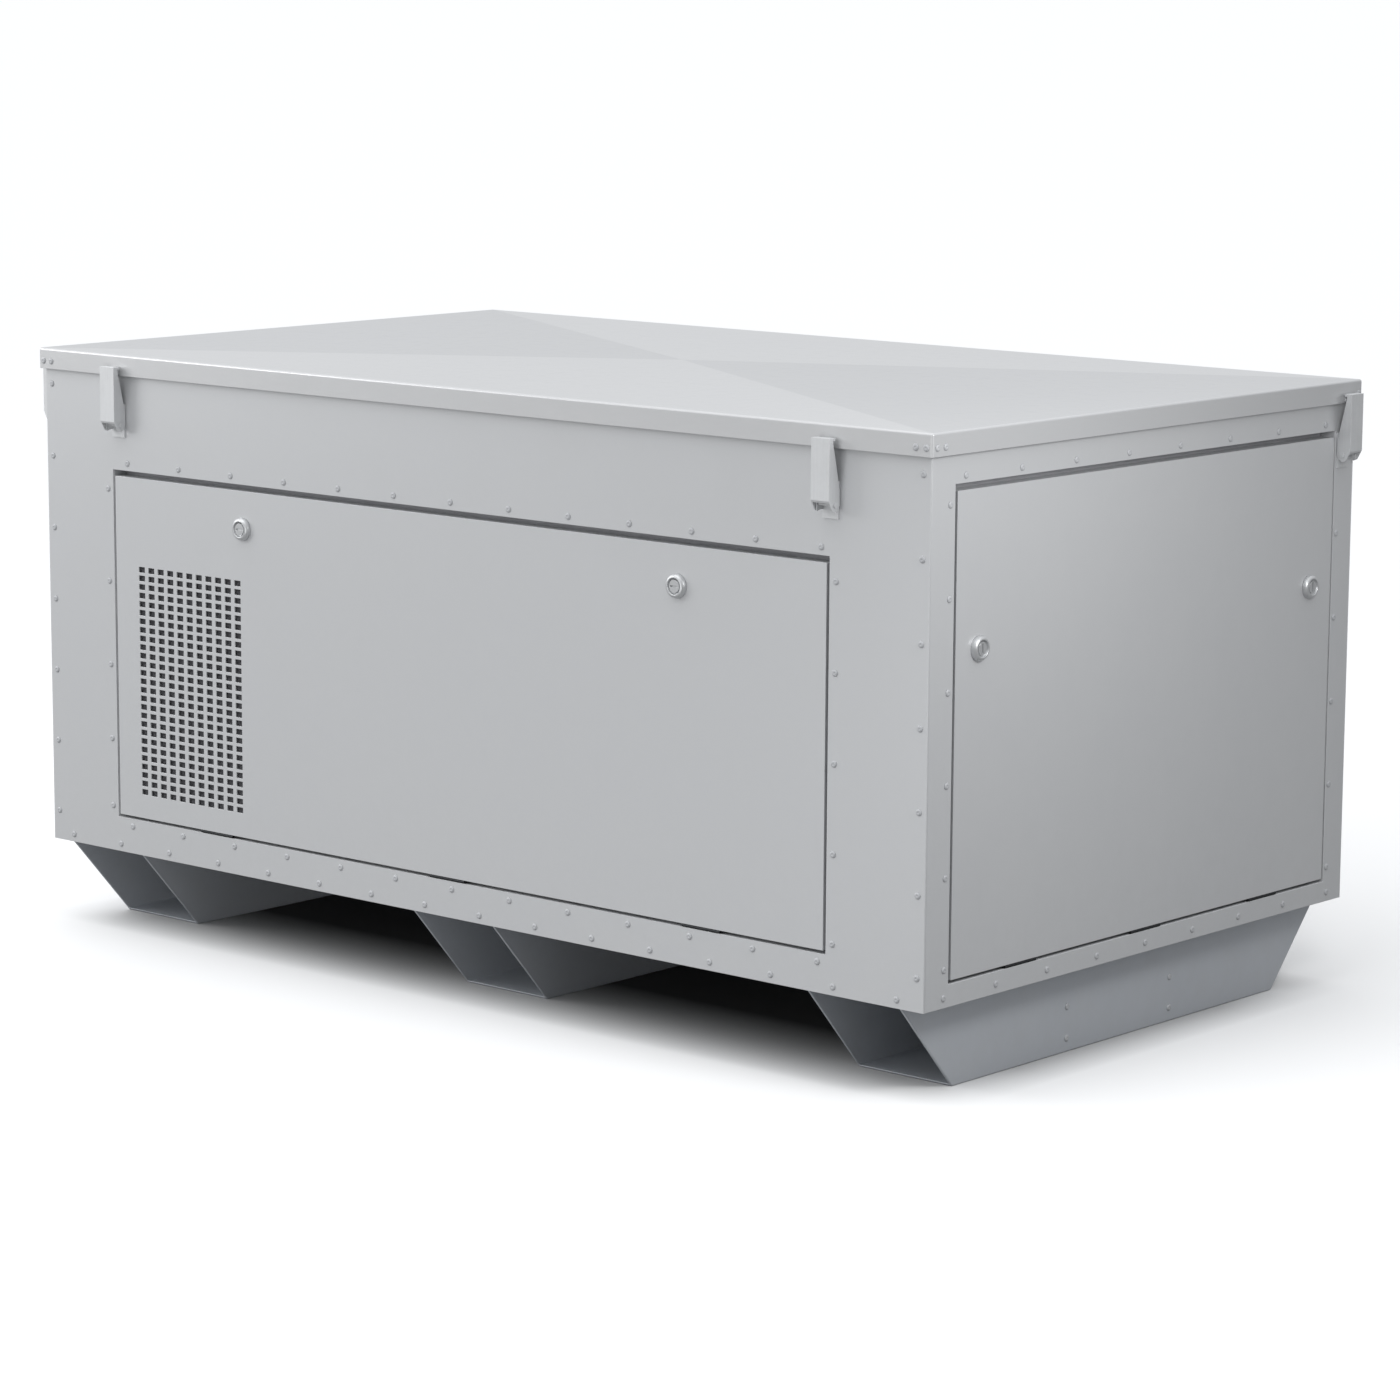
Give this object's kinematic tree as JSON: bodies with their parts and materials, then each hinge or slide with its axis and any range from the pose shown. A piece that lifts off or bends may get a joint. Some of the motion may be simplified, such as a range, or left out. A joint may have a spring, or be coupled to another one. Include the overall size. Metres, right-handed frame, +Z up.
{
  "type": "home standby generator",
  "caption": "Boxy sheet-metal home standby generator on channel skids, with a lift-off lid, draw latches, tilt-out access doors, quarter-turn locks and a full engine and alternator set inside.",
  "frame": {"origin": "on the ground under the middle of the enclosure", "axes": "+X along the long front towards the end with the access door, -Y out of the front, +Z up"},
  "size_m": [1.542, 0.902, 0.78],
  "materials": {
    "enclosure_sheet": "satin pale grey sheet",
    "skid_paint": "satin slate grey paint",
    "frame_steel": "zinc-plated steel",
    "rubber_black": "matte",
    "foam_grey": "acoustic foam",
    "latch_steel": "satin stainless",
    "rivet_aluminium": "satin",
    "lock_chrome": "polished",
    "engine_aluminium": "as cast",
    "machined_steel": "machined",
    "alternator_paint": "black paint",
    "black_plastic": "moulded",
    "filter_paint": "gloss cream paint",
    "exhaust_steel": "heat-stained",
    "control_paint": "textured dark grey",
    "display_glass": "clear",
    "stop_red": "gloss",
    "regulator_casting": "die cast"
  },
  "bodies": {
    "enclosure": {"base_tray": "skid_paint", "skid_left": "skid_paint", "skid_middle": "skid_paint", "skid_right": "skid_paint", "front_panel": "enclosure_sheet", "back_panel": "enclosure_sheet", "left_end_panel": "enclosure_sheet", "right_end_panel": "enclosure_sheet", "inner_frame": "frame_steel", "front_door_frame": "frame_steel", "end_door_frame": "frame_steel", "door_seals": "rubber_black", "fixed_hinge_leaves": "enclosure_sheet", "latch_brackets": "latch_steel", "latch_pins": "latch_steel", "wall_rivets": "rivet_aluminium", "skid_rivets": "rivet_aluminium", "engine_block": "engine_aluminium", "cylinder_heads": "engine_aluminium", "engine_mounts": "rubber_black", "alternator_housing": "alternator_paint", "fan_shroud": "alternator_paint", "air_cleaner": "black_plastic", "oil_filter": "filter_paint", "exhaust_pipe": "exhaust_steel", "muffler": "exhaust_steel", "bulkhead": "frame_steel", "battery": "black_plastic", "control_box": "control_paint", "control_box_hanger": "frame_steel", "display": "display_glass", "main_breaker": "black_plastic", "fuel_regulator": "regulator_casting"},
    "lid": {"lid_pan": "enclosure_sheet", "lid_seal": "rubber_black", "lid_foam": "foam_grey", "lid_keepers": "enclosure_sheet", "lid_rivets": "rivet_aluminium"},
    "front_door": {"front_door": "enclosure_sheet", "front_door_foam": "foam_grey", "front_door_hinge_tabs": "enclosure_sheet", "front_lock_bezels": "lock_chrome"},
    "end_door": {"end_door": "enclosure_sheet", "end_door_foam": "foam_grey", "end_door_hinge_tabs": "enclosure_sheet", "end_lock_bezels": "lock_chrome"},
    "front_lock_left": {"front_lock_left": "lock_chrome"},
    "front_lock_right": {"front_lock_right": "lock_chrome"},
    "end_lock_front": {"end_lock_front": "lock_chrome"},
    "end_lock_rear": {"end_lock_rear": "lock_chrome"},
    "crank": {"crank_rotor": "machined_steel"},
    "stop_button": {"stop_button": "stop_red"},
    "dipstick": {"dipstick": "machined_steel"},
    "breaker_toggle": {"breaker_toggle": "black_plastic"},
    "latch_front_left": {"latch_lever_front_left": "latch_steel"},
    "latch_front_right": {"latch_lever_front_right": "latch_steel"},
    "latch_back_left": {"latch_lever_back_left": "latch_steel"},
    "latch_back_right": {"latch_lever_back_right": "latch_steel"},
    "latch_right_end": {"latch_lever_right_end": "latch_steel"},
    "latch_left_end": {"latch_lever_left_end": "latch_steel"}
  },
  "joints": [
    {"name": "lid_lift", "type": "slide", "parent": "enclosure", "child": "lid", "axis": [0, 0, 1], "range_m": [0, 0.25]},
    {"name": "latch_front_left", "type": "hinge", "parent": "enclosure", "child": "latch_front_left", "pos_m": [-0.606, -0.4395, 0.684], "axis": [1, 0, 0], "range_deg": [0, 120]},
    {"name": "latch_front_right", "type": "hinge", "parent": "enclosure", "child": "latch_front_right", "pos_m": [0.606, -0.4395, 0.684], "axis": [1, 0, 0], "range_deg": [0, 120]},
    {"name": "latch_back_left", "type": "hinge", "parent": "enclosure", "child": "latch_back_left", "pos_m": [-0.606, 0.4395, 0.684], "axis": [-1, 0, 0], "range_deg": [0, 120]},
    {"name": "latch_back_right", "type": "hinge", "parent": "enclosure", "child": "latch_back_right", "pos_m": [0.606, 0.4395, 0.684], "axis": [-1, 0, 0], "range_deg": [0, 120]},
    {"name": "latch_right_end", "type": "hinge", "parent": "enclosure", "child": "latch_right_end", "pos_m": [0.7595, 0.404, 0.684], "axis": [0, 1, 0], "range_deg": [0, 120]},
    {"name": "latch_left_end", "type": "hinge", "parent": "enclosure", "child": "latch_left_end", "pos_m": [-0.7595, -0.404, 0.684], "axis": [0, -1, 0], "range_deg": [0, 120]},
    {"name": "front_door_tilt", "type": "hinge", "parent": "enclosure", "child": "front_door", "pos_m": [-0.008, -0.429, 0.159], "axis": [1, 0, 0], "range_deg": [0, 90]},
    {"name": "end_door_tilt", "type": "hinge", "parent": "enclosure", "child": "end_door", "pos_m": [0.749, 0.002, 0.139], "axis": [0, 1, 0], "range_deg": [0, 90]},
    {"name": "front_lock_left_turn", "type": "hinge", "parent": "front_door", "child": "front_lock_left", "pos_m": [-0.3725, -0.43, 0.566], "axis": [0, -1, 0], "range_deg": [0, 90]},
    {"name": "front_lock_right_turn", "type": "hinge", "parent": "front_door", "child": "front_lock_right", "pos_m": [0.3725, -0.43, 0.566], "axis": [0, -1, 0], "range_deg": [0, 90]},
    {"name": "end_lock_front_turn", "type": "hinge", "parent": "end_door", "child": "end_lock_front", "pos_m": [0.75, -0.338, 0.522], "axis": [1, 0, 0], "range_deg": [0, 90]},
    {"name": "end_lock_rear_turn", "type": "hinge", "parent": "end_door", "child": "end_lock_rear", "pos_m": [0.75, 0.338, 0.522], "axis": [-1, 0, 0], "range_deg": [0, 90]},
    {"name": "crank_spin", "type": "hinge", "parent": "enclosure", "child": "crank", "pos_m": [0.34, 0, 0.28], "axis": [1, 0, 0], "continuous": true},
    {"name": "stop_press", "type": "slide", "parent": "enclosure", "child": "stop_button", "axis": [0, 1, 0], "range_m": [0, 0.005], "stiffness_N_per_m": 800},
    {"name": "dipstick_pull", "type": "slide", "parent": "enclosure", "child": "dipstick", "axis": [0, 0, 1], "range_m": [0, 0.17]},
    {"name": "breaker_throw", "type": "hinge", "parent": "enclosure", "child": "breaker_toggle", "pos_m": [0.18, -0.383, 0.52], "axis": [1, 0, 0], "range_deg": [0, 40]}
  ]
}
